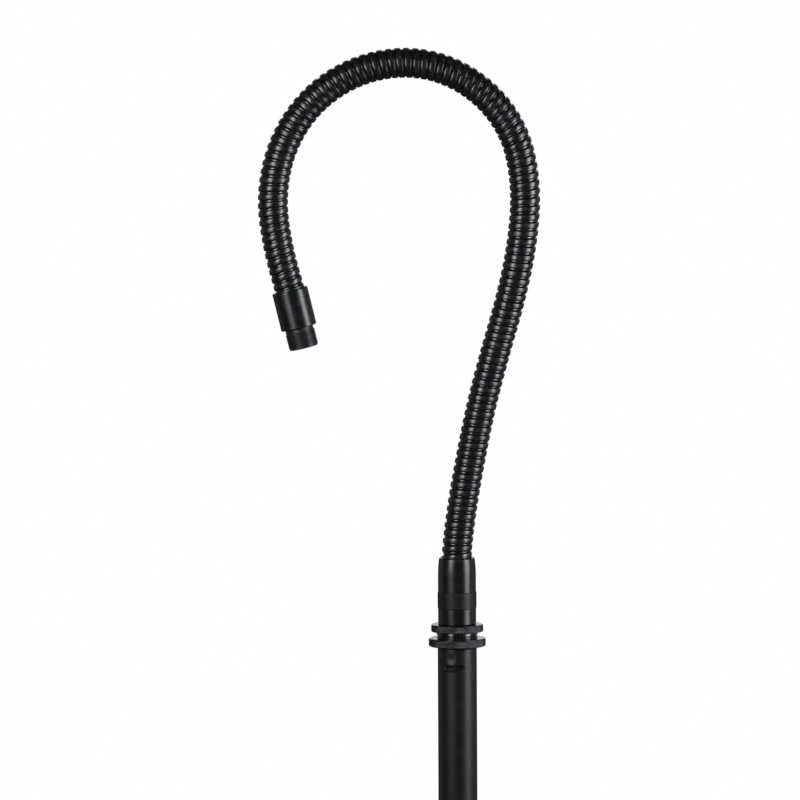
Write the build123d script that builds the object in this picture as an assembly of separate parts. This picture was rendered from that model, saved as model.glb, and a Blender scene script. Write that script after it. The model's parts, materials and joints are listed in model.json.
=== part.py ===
from build123d import *

import math
import os

# Gooseneck stand for a podium microphone, in millimetres.
#
# The origin is the centre of the underside of the round base, and +Z points up along the stand
# tube. The gooseneck leaves the top of the tube straight up and bends over in the XZ plane, towards
# -X, so that its threaded tip points down.
#
# The gooseneck is a chain of short rigid links. Each link carries seven turns of the two wires that
# a gooseneck is wound from: the inner round wire is drawn as a hollow tube that ends in a ball and a
# socket, and the outer wire as one closed ring for each turn.

# ---- threads: 5/8-27 microphone thread, drawn plain at its major diameter ----
THREAD_R = 15.875 / 2
THREAD_CLEARANCE = 0.06
THREAD_CHAMFER = 0.5

# ---- gooseneck windings ----
HOSE_R = 8.0
COIL_R = 7.1
COIL_BORE_R = 4.0
WRAP_PITCH = 4.28
WRAP_WIDTH = 2.85
WRAP_SHOULDER = 0.42
WRAP_GAP = 0.05
TURNS_PER_LINK = 7
LINK_LENGTH = TURNS_PER_LINK * WRAP_PITCH
STUB_LENGTH = 7.05
TIP_STUB_LENGTH = 6.15
TUCKED_LENGTH = 11.0
TUCKED_TURNS = 3

# Bend of each link in degrees: positive turns towards -X, over the top.
FOOT_BEND = -6
STEM_BENDS = (-4, -1.5, -3.5, -1.5)
RUN_IN_BENDS = (4.5, 8, 15.5)
CROOK_BENDS = (28, 26, 28.5, 24.5, 25, 23.5)
RUN_OUT_BENDS = (20.5, 9)
TIP_BEND = -3
LINK_BENDS = STEM_BENDS + RUN_IN_BENDS + CROOK_BENDS + RUN_OUT_BENDS

# ---- ball and socket between two links ----
BALL_R = 7.33
SOCKET_CLEARANCE = 0.3

# ---- ferrules at the two ends of the gooseneck ----
FERRULE_BORE_R = 8.1
FOOT_FERRULE_R = 10.1
FOOT_FERRULE_LENGTH = 35.5
FOOT_FERRULE_TOP_R = 9.5
FOOT_SHOULDER_HEIGHT = 9.5
FOOT_SHOULDER_DROP = 0.25
FOOT_EDGE = 0.5
SWAGE_R = 10.35
SWAGE_START = 8.5
SWAGE_END = 17.5
SWAGE_RAMP = 0.4
BUSH_R = 9.0
BUSH_LENGTH = 20.0
BUSH_CLEARANCE = 0.03
TIP_FERRULE_R = 9.55
TIP_FERRULE_LENGTH = 20.6
TIP_EDGE = 0.6
STUD_ROOT_R = 8.05
STUD_ROOT_LENGTH = 8.0
STUD_BORE_R = 4.75
RELIEF_R = 7.45
RELIEF_LENGTH = 1.6
TIP_THREAD_LENGTH = 8.9

# ---- top of the stand ----
TUBE_TOP = 195.2
TUBE_R = 10.4
TUBE_BORE_R = 8.8
FLANGE_R = 15.15
FLANGE_THICKNESS = 4.3
FLANGE_EDGE = 0.5
NECK_R = 10.85
NECK_HEIGHT = 3.35
JAM_RING_R = 13.85
JAM_RING_THICKNESS = 3.95
JAM_RING_EDGE = 0.6
FACE_GAP = 0.05
STUD_ABOVE_RING = 16.0
PLUG_LENGTH = 26.0
PLUG_CLEARANCE = 0.05
CRIMP_HEIGHT = 3.2
CRIMP_BELOW_TOP = 10.8
CRIMP_ANGLE = 56.0
CRIMP_TURN = -8.5
CRIMP_DEPTH = 0.9
SLOT_INSIDE_R = TUBE_BORE_R - 1

# ---- base ----
PAD_R = 77.0
PAD_THICKNESS = 2.0
BASE_R = 80.0
BASE_RIM_HEIGHT = 6.0
BASE_RIM_EDGE = 1.5
BASE_DOME_HEIGHT = 13.0
BASE_DOME_SWELL = 0.62
HUB_R = 18.0
HUB_TOP = 30.0
HUB_FILLET = 6.0
HUB_EDGE = 1.2
TUBE_BOTTOM = 15.0
POCKET_R = 13.0
POCKET_TOP = 9.5
BOLT_R = 5.0
BOLT_CLEARANCE = 0.4
BOLT_HEAD_FLATS = 16.0
BOLT_HEAD_HEIGHT = 5.6
WASHER_R = 10.5
WASHER_THICKNESS = 1.6
FOOT_PLUG_LENGTH = 22.0

# ---- heights that follow ----
NECK_TOP = TUBE_TOP + FLANGE_THICKNESS + NECK_HEIGHT
JAM_RING_BOTTOM = NECK_TOP + FACE_GAP
FERRULE_BOTTOM = JAM_RING_BOTTOM + JAM_RING_THICKNESS + FACE_GAP
FERRULE_TOP = FERRULE_BOTTOM + FOOT_FERRULE_LENGTH
STUD_TOP = FERRULE_BOTTOM + STUD_ABOVE_RING


def turned(points):
    """Solid turned about Z from its half outline, a closed list of (radius, height) points."""
    outline = Polyline(*[(r, 0, z) for r, z in points], close=True)
    return revolve(make_face(outline), Axis.Z)


def ring(outer_r, inner_r, bottom, top):
    """Plain ring about Z."""
    return turned([(inner_r, bottom), (outer_r, bottom), (outer_r, top), (inner_r, top)])


def save(node, *solids):
    """Write one node, which may be several separate solids."""
    shape = solids[0] if len(solids) == 1 else Compound(children=list(solids))
    shape.label = node
    export_step(shape, f"parts/{node}.step")


# ---------------------------------------------------------------- the line of the gooseneck

def heading_frame(x, z, heading):
    """Frame at (x, 0, z) whose +Z runs along the heading, in degrees from +X towards +Z."""
    return Location((x, 0, z), (0, 90 - heading, 0))


def along(start, length, bend, distance):
    """Point and heading at a distance along an arc that starts at (x, z, heading)."""
    x, z, heading = start
    if not bend:
        angle = math.radians(heading)
        return x + distance * math.cos(angle), z + distance * math.sin(angle), heading
    radius = length / math.radians(bend)
    end = heading + bend * distance / length
    first, last = math.radians(heading), math.radians(end)
    return (
        x + radius * (math.sin(last) - math.sin(first)),
        z - radius * (math.cos(last) - math.cos(first)),
        end,
    )


def chain_starts():
    """Start (x, z, heading) of the foot stub, of each link, of the tip stub, and the hose's end."""
    starts = [(0.0, FERRULE_TOP, 90.0)]
    starts.append(along(starts[-1], STUB_LENGTH, FOOT_BEND, STUB_LENGTH))
    for bend in LINK_BENDS:
        starts.append(along(starts[-1], LINK_LENGTH, bend, LINK_LENGTH))
    starts.append(along(starts[-1], TIP_STUB_LENGTH, TIP_BEND, TIP_STUB_LENGTH))
    return starts


# ---------------------------------------------------------------- pieces of the gooseneck

def bent_rod(length, bend, radius):
    """Round bar that starts at the origin along +Z and bends by an angle towards -X."""
    disc = make_face(Circle(radius).edge())
    if not bend:
        return extrude(disc, length)
    arc_radius = length / math.radians(abs(bend))
    side = 1 if bend > 0 else -1
    centre_line = Axis((-side * arc_radius, 0, 0), (0, -side, 0))
    return revolve(disc, centre_line, abs(bend))


def local_end(length, bend):
    """Frame of the far end of a bent rod, in the rod's own frame."""
    x, z, heading = along((0.0, 0.0, 90.0), length, bend, length)
    return heading_frame(x, z, heading)


def straight_bar(radius, start, end):
    """Round bar along Z between two heights."""
    return Pos(0, 0, (start + end) / 2) * Cylinder(radius, end - start)


def ball_nose():
    """Ball-shaped nose past the end of a link, no wider than the link."""
    return Sphere(BALL_R) & straight_bar(COIL_R, 0, BALL_R)


def coil_piece(length, bend, socket, ball, lead_in=0.0, lead_out=0.0):
    """Hollow coil along one bend, with straight lengths before and after it where asked."""
    end = local_end(length, bend)
    body = bent_rod(length, bend, COIL_R)
    bore = bent_rod(length, bend, COIL_BORE_R)
    if lead_in:
        body += straight_bar(COIL_R, -lead_in, 0)
        bore += straight_bar(COIL_BORE_R, -lead_in, 0)
    if lead_out:
        body += end * straight_bar(COIL_R, 0, lead_out)
        bore += end * straight_bar(COIL_BORE_R, 0, lead_out)
    if ball:
        body += end * ball_nose()
        bore += end * straight_bar(COIL_BORE_R, 0, BALL_R)
    body -= bore
    if socket:
        body -= Sphere(BALL_R + SOCKET_CLEARANCE)
    return body


def wrap_turn():
    """One turn of the outer wire as a ring about Z: flat inside, crowned outside."""
    inner, shoulder, half = COIL_R + WRAP_GAP, HOSE_R - WRAP_SHOULDER, WRAP_WIDTH / 2
    outline = [
        Line((inner, 0, -half), (shoulder, 0, -half)),
        ThreePointArc((shoulder, 0, -half), (HOSE_R, 0, 0), (shoulder, 0, half)),
        Line((shoulder, 0, half), (inner, 0, half)),
        Line((inner, 0, half), (inner, 0, -half)),
    ]
    return revolve(make_face(Wire(outline)), Axis.Z)


def wrap_turns(start, length, bend, distances):
    """Turns of the outer wire at distances along a bend; negative ones lie straight before it."""
    turns = []
    for distance in distances:
        if distance < 0:
            place = along(start, length, 0, distance)
        elif distance > length:
            place = along(along(start, length, bend, length), length, 0, distance - length)
        else:
            place = along(start, length, bend, distance)
        turns.append(heading_frame(*place) * wrap_turn())
    return turns


def build_gooseneck(starts):
    """Foot stub, links and tip stub, two nodes each."""
    foot, tip = starts[0], starts[-2]
    coil = coil_piece(STUB_LENGTH, FOOT_BEND, socket=False, ball=True, lead_in=TUCKED_LENGTH)
    save("foot_coil", heading_frame(*foot) * coil)
    shown = [STUB_LENGTH - WRAP_PITCH * (i + 0.5) for i in range(1 + TUCKED_TURNS)]
    save("foot_wrap", *wrap_turns(foot, STUB_LENGTH, FOOT_BEND, shown))

    for i, bend in enumerate(LINK_BENDS):
        start = starts[i + 1]
        coil = coil_piece(LINK_LENGTH, bend, socket=True, ball=True)
        save(f"coil_link_{i + 1:02d}", heading_frame(*start) * coil)
        places = [WRAP_PITCH * (turn + 0.5) for turn in range(TURNS_PER_LINK)]
        save(f"wrap_link_{i + 1:02d}", *wrap_turns(start, LINK_LENGTH, bend, places))

    coil = coil_piece(TIP_STUB_LENGTH, TIP_BEND, socket=True, ball=False, lead_out=TUCKED_LENGTH)
    save("tip_coil", heading_frame(*tip) * coil)
    places = [WRAP_PITCH * (i + 0.5) for i in range(1 + TUCKED_TURNS)]
    save("tip_wrap", *wrap_turns(tip, TIP_STUB_LENGTH, TIP_BEND, places))


# ---------------------------------------------------------------- ferrules

def build_foot_ferrule():
    """Sleeve that the hose is swaged into, and the threaded bush inside it."""
    low, top = FERRULE_BOTTOM, FERRULE_TOP
    shoulder = top - FOOT_SHOULDER_HEIGHT
    swage_low, swage_high = low + SWAGE_START, low + SWAGE_END
    ledge = low + BUSH_LENGTH + BUSH_CLEARANCE
    middle_r = FOOT_FERRULE_R - FOOT_SHOULDER_DROP * (FOOT_FERRULE_R - FOOT_FERRULE_TOP_R)
    bush_hole_r = BUSH_R + BUSH_CLEARANCE
    sides = Polyline(
        (FERRULE_BORE_R, 0, top),
        (FERRULE_BORE_R, 0, ledge),
        (bush_hole_r, 0, ledge),
        (bush_hole_r, 0, low),
        (FOOT_FERRULE_R - FOOT_EDGE, 0, low),
        (FOOT_FERRULE_R, 0, low + FOOT_EDGE),
        (FOOT_FERRULE_R, 0, swage_low),
        (SWAGE_R, 0, swage_low + SWAGE_RAMP),
        (SWAGE_R, 0, swage_high - SWAGE_RAMP),
        (FOOT_FERRULE_R, 0, swage_high),
        (FOOT_FERRULE_R, 0, shoulder),
    )
    crown = ThreePointArc(
        (FOOT_FERRULE_R, 0, shoulder),
        (middle_r, 0, top - FOOT_SHOULDER_HEIGHT / 2),
        (FOOT_FERRULE_TOP_R, 0, top - FOOT_EDGE),
    )
    rim = Polyline(
        (FOOT_FERRULE_TOP_R, 0, top - FOOT_EDGE),
        (FOOT_FERRULE_TOP_R - FOOT_EDGE, 0, top),
        (FERRULE_BORE_R, 0, top),
    )
    outline = Wire([*sides.edges(), crown.edge(), *rim.edges()])
    save("foot_ferrule", revolve(make_face(outline), Axis.Z))

    bush = ring(BUSH_R, THREAD_R + THREAD_CLEARANCE, low, low + BUSH_LENGTH)
    save("threaded_bush", bush)


def build_tip_ferrule(hose_end):
    """Sleeve at the tip and the hollow threaded stud that a microphone holder screws on to."""
    place = heading_frame(*hose_end)
    length, radius, edge = TIP_FERRULE_LENGTH, TIP_FERRULE_R, TIP_EDGE
    sleeve = turned([
        (FERRULE_BORE_R, 0),
        (radius - edge, 0),
        (radius, edge),
        (radius, length - edge),
        (radius - edge, length),
        (FERRULE_BORE_R, length),
    ])
    save("tip_ferrule", place * sleeve)

    thread_start = length + RELIEF_LENGTH
    thread_end = thread_start + TIP_THREAD_LENGTH
    stud = turned([
        (STUD_BORE_R, length - STUD_ROOT_LENGTH),
        (STUD_ROOT_R, length - STUD_ROOT_LENGTH),
        (STUD_ROOT_R, length),
        (RELIEF_R, length),
        (RELIEF_R, thread_start),
        (THREAD_R, thread_start),
        (THREAD_R, thread_end),
        (THREAD_R - THREAD_CHAMFER, thread_end + THREAD_CHAMFER),
        (STUD_BORE_R, thread_end + THREAD_CHAMFER),
    ])
    save("tip_stud", place * stud)


# ---------------------------------------------------------------- top of the stand

def build_top_fitting():
    """Knurled flange, neck and threaded stud turned from one bar, with the plug in the tube."""
    flange_top = TUBE_TOP + FLANGE_THICKNESS
    plug_r = TUBE_BORE_R - PLUG_CLEARANCE
    groove_r = plug_r - CRIMP_DEPTH
    crimp_middle = TUBE_TOP - CRIMP_BELOW_TOP
    groove_low, groove_high = crimp_middle - CRIMP_HEIGHT, crimp_middle + CRIMP_HEIGHT
    fitting = turned([
        (0, TUBE_TOP - PLUG_LENGTH),
        (plug_r, TUBE_TOP - PLUG_LENGTH),
        (plug_r, groove_low),
        (groove_r, groove_low),
        (groove_r, groove_high),
        (plug_r, groove_high),
        (plug_r, TUBE_TOP),
        (FLANGE_R - FLANGE_EDGE, TUBE_TOP),
        (FLANGE_R, TUBE_TOP + FLANGE_EDGE),
        (FLANGE_R, flange_top - FLANGE_EDGE),
        (FLANGE_R - FLANGE_EDGE, flange_top),
        (NECK_R, flange_top),
        (NECK_R, NECK_TOP),
        (THREAD_R, NECK_TOP),
        (THREAD_R, STUD_TOP - THREAD_CHAMFER),
        (THREAD_R - THREAD_CHAMFER, STUD_TOP),
        (0, STUD_TOP),
    ])
    save("top_fitting", fitting)


def build_jam_ring():
    """Thin knurled ring that locks the ferrule on the stud."""
    low, high = JAM_RING_BOTTOM, JAM_RING_BOTTOM + JAM_RING_THICKNESS
    bore_r = THREAD_R + THREAD_CLEARANCE
    save("jam_ring", turned([
        (bore_r, low),
        (JAM_RING_R - JAM_RING_EDGE, low),
        (JAM_RING_R, low + JAM_RING_EDGE),
        (JAM_RING_R, high - JAM_RING_EDGE),
        (JAM_RING_R - JAM_RING_EDGE, high),
        (bore_r, high),
    ]))


def build_stand_tube():
    """Tube with a slot that is crimped on to the plug of the top fitting."""
    tube = ring(TUBE_R, TUBE_BORE_R, TUBE_BOTTOM, TUBE_TOP)
    middle = TUBE_TOP - CRIMP_BELOW_TOP
    reach = TUBE_R + PLUG_CLEARANCE
    low, high = middle - CRIMP_HEIGHT / 2, middle + CRIMP_HEIGHT / 2
    section = Polyline(
        (SLOT_INSIDE_R, 0, low),
        (reach, 0, low),
        (reach, 0, high),
        (SLOT_INSIDE_R, 0, high),
        close=True,
    )
    slot = revolve(make_face(section), Axis.Z, CRIMP_ANGLE)
    first_edge = -90 + CRIMP_TURN - CRIMP_ANGLE / 2
    save("stand_tube", tube - Rot(0, 0, first_edge) * slot)


# ---------------------------------------------------------------- base

def build_base():
    """Domed casting with a hub for the tube, its bolt and washer, and the felt pad under it."""
    rim_top = PAD_THICKNESS + BASE_RIM_HEIGHT
    socket_r = TUBE_R + PLUG_CLEARANCE
    hub_foot = HUB_R + HUB_FILLET
    dome_side = BASE_R - BASE_RIM_EDGE
    middle_r = (hub_foot + dome_side) / 2
    dome_top = PAD_THICKNESS + BASE_DOME_HEIGHT
    middle_z = rim_top + BASE_DOME_SWELL * (dome_top - rim_top)
    inside = Polyline(
        (HUB_R, 0, HUB_TOP - HUB_EDGE),
        (HUB_R - HUB_EDGE, 0, HUB_TOP),
        (socket_r, 0, HUB_TOP),
        (socket_r, 0, TUBE_BOTTOM),
        (BOLT_R + BOLT_CLEARANCE, 0, TUBE_BOTTOM),
        (BOLT_R + BOLT_CLEARANCE, 0, POCKET_TOP),
        (POCKET_R, 0, POCKET_TOP),
        (POCKET_R, 0, PAD_THICKNESS),
        (BASE_R, 0, PAD_THICKNESS),
        (BASE_R, 0, rim_top - BASE_RIM_EDGE),
        (dome_side, 0, rim_top),
    )
    dome = ThreePointArc(
        (dome_side, 0, rim_top), (middle_r, 0, middle_z), (hub_foot, 0, dome_top)
    )
    fillet_inset = HUB_FILLET * (1 - math.sqrt(0.5))
    flare = ThreePointArc(
        (hub_foot, 0, dome_top),
        (HUB_R + fillet_inset, 0, dome_top + fillet_inset),
        (HUB_R, 0, dome_top + HUB_FILLET),
    )
    side = Line((HUB_R, 0, dome_top + HUB_FILLET), (HUB_R, 0, HUB_TOP - HUB_EDGE))
    outline = Wire([*inside.edges(), dome.edge(), flare.edge(), side.edge()])
    save("base_casting", revolve(make_face(outline), Axis.Z))
    save("base_pad", ring(PAD_R, 0, 0, PAD_THICKNESS))

    washer_low = POCKET_TOP - WASHER_THICKNESS
    save("base_washer", ring(WASHER_R, BOLT_R + BOLT_CLEARANCE, washer_low, POCKET_TOP))
    head_low = washer_low - BOLT_HEAD_HEIGHT
    hexagon = RegularPolygon(BOLT_HEAD_FLATS / 2, 6, major_radius=False)
    head = Pos(0, 0, head_low) * extrude(hexagon, BOLT_HEAD_HEIGHT)
    shank_top = TUBE_BOTTOM + FOOT_PLUG_LENGTH - BOLT_R
    save("base_bolt", head + straight_bar(BOLT_R, washer_low, shank_top))
    plug = ring(
        TUBE_BORE_R - PLUG_CLEARANCE,
        BOLT_R + BUSH_CLEARANCE,
        TUBE_BOTTOM,
        TUBE_BOTTOM + FOOT_PLUG_LENGTH,
    )
    save("tube_foot_plug", plug)


def main():
    """Write every node."""
    os.makedirs("parts", exist_ok=True)
    starts = chain_starts()
    build_base()
    build_stand_tube()
    build_top_fitting()
    build_jam_ring()
    build_foot_ferrule()
    build_gooseneck(starts)
    build_tip_ferrule(starts[-1])


main()
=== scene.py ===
"""Looks of a gooseneck microphone stand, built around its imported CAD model.

The neck is wound from two wires. The outer one is a triangular wire whose broad face is the band
that shows, and the inner one is a round wire that lies in the groove between its turns. Both are
steel with a thin black coating, as are the ferrules, the knurled rings and the stand tube. Sizes in
the classes are in millimetres; meshes are made in metres.
"""
import json
import logging
import math
from collections.abc import Callable, Sequence
from dataclasses import dataclass, field
from enum import Enum
from functools import partial
from typing import Any

import bmesh
import bpy
from mathutils import Matrix, Vector


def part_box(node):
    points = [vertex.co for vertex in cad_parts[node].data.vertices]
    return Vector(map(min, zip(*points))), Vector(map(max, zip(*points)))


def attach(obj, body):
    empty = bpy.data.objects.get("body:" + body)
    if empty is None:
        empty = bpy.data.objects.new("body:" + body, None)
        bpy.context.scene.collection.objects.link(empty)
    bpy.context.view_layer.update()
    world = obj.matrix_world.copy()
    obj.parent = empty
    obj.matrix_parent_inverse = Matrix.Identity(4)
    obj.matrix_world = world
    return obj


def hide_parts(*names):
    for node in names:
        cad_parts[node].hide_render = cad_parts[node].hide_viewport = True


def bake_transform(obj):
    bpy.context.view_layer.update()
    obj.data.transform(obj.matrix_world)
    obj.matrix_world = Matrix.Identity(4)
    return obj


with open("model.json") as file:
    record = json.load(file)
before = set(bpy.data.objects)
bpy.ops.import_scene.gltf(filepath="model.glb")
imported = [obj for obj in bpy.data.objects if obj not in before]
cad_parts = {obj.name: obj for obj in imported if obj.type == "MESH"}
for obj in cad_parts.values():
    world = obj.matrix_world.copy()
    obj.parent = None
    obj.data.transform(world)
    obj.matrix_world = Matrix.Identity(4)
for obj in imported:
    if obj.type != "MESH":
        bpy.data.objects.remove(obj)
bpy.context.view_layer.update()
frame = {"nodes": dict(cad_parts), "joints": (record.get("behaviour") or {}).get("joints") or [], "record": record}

LOG = logging.getLogger("gooseneck_stand")
MM = 0.001
WELD = 1e-8
STRAIGHT = 1e-9
TURN = 2 * math.pi
QUARTER = math.pi / 2
UP = Vector((0, 0, 1))
SIDEWAYS = Vector((0, 1, 0))

Outline = list[tuple[float, float]]
Links = dict[str | int, Any]
WHITE = (1.0, 1.0, 1.0, 1.0)
MATH = "ShaderNodeMath"
VECTOR_MATH = "ShaderNodeVectorMath"


# ------------------------------------------------------------------------------- small helpers

def linear(hex_colour: str) -> tuple[float, float, float, float]:
    """Turn an sRGB hex colour such as "#1a1b1c" into linear RGBA."""
    channels = [int(hex_colour[i:i + 2], 16) / 255 for i in (1, 3, 5)]
    light = [c / 12.92 if c <= 0.04045 else ((c + 0.055) / 1.055) ** 2.4 for c in channels]
    return light[0], light[1], light[2], 1.0


def feed(tree: bpy.types.NodeTree, node: bpy.types.Node, links: Links) -> None:
    """Fill a node's inputs, each with a value, a socket or another node's first output."""
    for key, value in links.items():
        if isinstance(value, bpy.types.Node):
            value = value.outputs[0]
        if isinstance(value, bpy.types.NodeSocket):
            tree.links.new(value, node.inputs[key])
        else:
            node.inputs[key].default_value = value


def add_node(
    tree: bpy.types.NodeTree, kind: str, *values: Any, links: Links | None = None, **settings: Any
) -> bpy.types.Node:
    """Add a node with its settings and its inputs.

    Args:
        tree: shader or geometry tree that the node goes in.
        kind: the node's type name.
        values: what goes in the first inputs, in order.
        links: what goes in the others, by name or number.
        settings: properties of the node, by name.

    Returns:
        The new node.
    """
    node = tree.nodes.new(kind)
    for name, value in settings.items():
        setattr(node, name, value)
    feed(tree, node, {**dict(enumerate(values)), **(links or {})})
    return node


def new_skin(
    name: str
) -> tuple[bpy.types.Material, bpy.types.NodeTree, bpy.types.Node, bpy.types.NodeSocket]:
    """Start a material; returns it, its tree, its shader and the piece's own coordinates."""
    skin = bpy.data.materials.new(name)
    skin.use_nodes = True
    tree = skin.node_tree
    place = add_node(tree, "ShaderNodeTexCoord").outputs["Object"]
    return skin, tree, tree.nodes["Principled BSDF"], place


def new_object(name: str, mesh: bpy.types.Mesh) -> bpy.types.Object:
    """Put a mesh in the scene as an object at the origin."""
    piece = bpy.data.objects.new(name, mesh)
    bpy.context.scene.collection.objects.link(piece)
    return piece


def node_top(node: str) -> float:
    """Top of a CAD node in millimetres."""
    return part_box(node)[1].z / MM


def node_bottom(node: str) -> float:
    """Underside of a CAD node in millimetres."""
    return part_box(node)[0].z / MM


def node_radius(node: str) -> float:
    """Half the width of a CAD node that stands about the Z axis, in millimetres."""
    low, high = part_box(node)
    return (high.y - low.y) / 2 / MM


# ------------------------------------------------------------------------------- finishes

class Pattern(Enum):
    """What the coordinates of a coating's fine marks follow."""

    SURFACE = "surface"
    TURNED = "turned"
    DRAWN = "drawn"


@dataclass(frozen=True)
class BlackCoat:
    """Thin black coating on steel or brass: a dark dielectric skin with a satin gloss.

    The coat lies in soft waves (orange peel), it is a little greyer and rougher in patches, and the
    lines of the bare metal under it show through: rings on a turned part, lengthwise lines on a
    drawn wire, and none on a tube that is coated thickly.
    """

    name: str
    colour: str
    patch_colour: str
    roughness: float
    patch_roughness: float
    patch_mm: float
    peel_mm: float
    peel_depth_mm: float
    pattern: Pattern = Pattern.SURFACE
    line_mm: float = 0.25
    line_depth_mm: float = 0.0
    specular: float = 0.5
    patch_from: float = 0.42
    patch_to: float = 0.66
    line_stretch: float = 0.02

    def material(self) -> bpy.types.Material:
        """Build the material."""
        skin, tree, shader, place = new_skin(self.name)
        add = partial(add_node, tree)
        patches = add("ShaderNodeTexNoise", links={
            "Vector": place, "Scale": 1 / (self.patch_mm * MM), "Detail": 3.0, "Roughness": 0.6})
        patch = add("ShaderNodeMapRange", interpolation_type="SMOOTHSTEP", links={
            "Value": patches, "From Min": self.patch_from, "From Max": self.patch_to})
        tint = add("ShaderNodeMix", data_type="RGBA", links={
            "Factor": patch, 6: linear(self.colour), 7: linear(self.patch_colour)})
        gloss = add("ShaderNodeMapRange", links={
            "Value": patch, "To Min": self.roughness, "To Max": self.patch_roughness})
        peel = add("ShaderNodeTexNoise", links={
            "Vector": place, "Scale": 1 / (self.peel_mm * MM), "Detail": 1.0})
        bump = add("ShaderNodeBump", links={
            "Height": peel, "Distance": self.peel_depth_mm * MM})
        if self.line_depth_mm:
            lines = add("ShaderNodeTexNoise", noise_dimensions="2D", links={
                "Vector": self.line_place(tree), "Scale": 1 / self.line_mm, "Detail": 2.0})
            bump = add("ShaderNodeBump", links={
                "Height": lines, "Distance": self.line_depth_mm * MM, "Normal": bump})
        feed(tree, shader, {
            "Base Color": tint.outputs[2],
            "Roughness": gloss,
            "Specular IOR Level": self.specular,
            "Normal": bump})
        return skin

    def line_place(self, tree: bpy.types.NodeTree) -> bpy.types.NodeSocket:
        """Coordinates, in millimetres, in which the metal's lines run along the first axis.

        Args:
            tree: the material's tree.

        Returns:
            A vector whose first part is compressed, so that noise on it draws long lines.
        """
        add = partial(add_node, tree)
        along, across = ("run", "round") if self.pattern is Pattern.DRAWN else ("turn", "height")
        first, second = (
            add("ShaderNodeAttribute", attribute_name=name).outputs["Fac"]
            for name in (along, across))
        slow = add(MATH, first, self.line_stretch, operation="MULTIPLY")
        return add("ShaderNodeCombineXYZ", slow, second).outputs[0]


@dataclass(frozen=True)
class PlatedSteel:
    """Zinc-plated steel of fasteners and bushes: pale grey metal, satin, with a mottled gloss."""

    name: str = "zinc_plated_steel"
    colour: str = "#a9abae"
    roughness: float = 0.32
    dull_roughness: float = 0.5
    grain_mm: float = 1.5

    def material(self) -> bpy.types.Material:
        """Build the material."""
        skin, tree, shader, place = new_skin(self.name)
        grain = add_node(tree, "ShaderNodeTexNoise", links={
            "Vector": place, "Scale": 1 / (self.grain_mm * MM), "Detail": 3.0})
        gloss = add_node(tree, "ShaderNodeMapRange", links={
            "Value": grain, "From Min": 0.35, "From Max": 0.65,
            "To Min": self.roughness, "To Max": self.dull_roughness})
        feed(tree, shader, {
            "Base Color": linear(self.colour), "Metallic": 1.0, "Roughness": gloss})
        return skin


@dataclass(frozen=True)
class Felt:
    """Pressed wool felt: matte, with a soft sheen of short fibres that lie every way."""

    name: str = "pressed_black_felt"
    colour: str = "#1d1d1e"
    worn_colour: str = "#2c2c2d"
    fibre_mm: float = 0.35
    fibre_height_mm: float = 0.25
    roughness: float = 0.95
    sheen: float = 0.25

    def material(self) -> bpy.types.Material:
        """Build the material."""
        skin, tree, shader, place = new_skin(self.name)
        fibre = add_node(tree, "ShaderNodeTexNoise", links={
            "Vector": place, "Scale": 1 / (self.fibre_mm * MM), "Detail": 4.0, "Roughness": 0.7})
        tint = add_node(tree, "ShaderNodeMix", data_type="RGBA", links={
            "Factor": fibre, 6: linear(self.colour), 7: linear(self.worn_colour)})
        nap = add_node(tree, "ShaderNodeBump", links={
            "Height": fibre, "Distance": self.fibre_height_mm * MM})
        feed(tree, shader, {
            "Base Color": tint.outputs[2],
            "Roughness": self.roughness,
            "Sheen Weight": self.sheen,
            "Normal": nap})
        return skin


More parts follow.
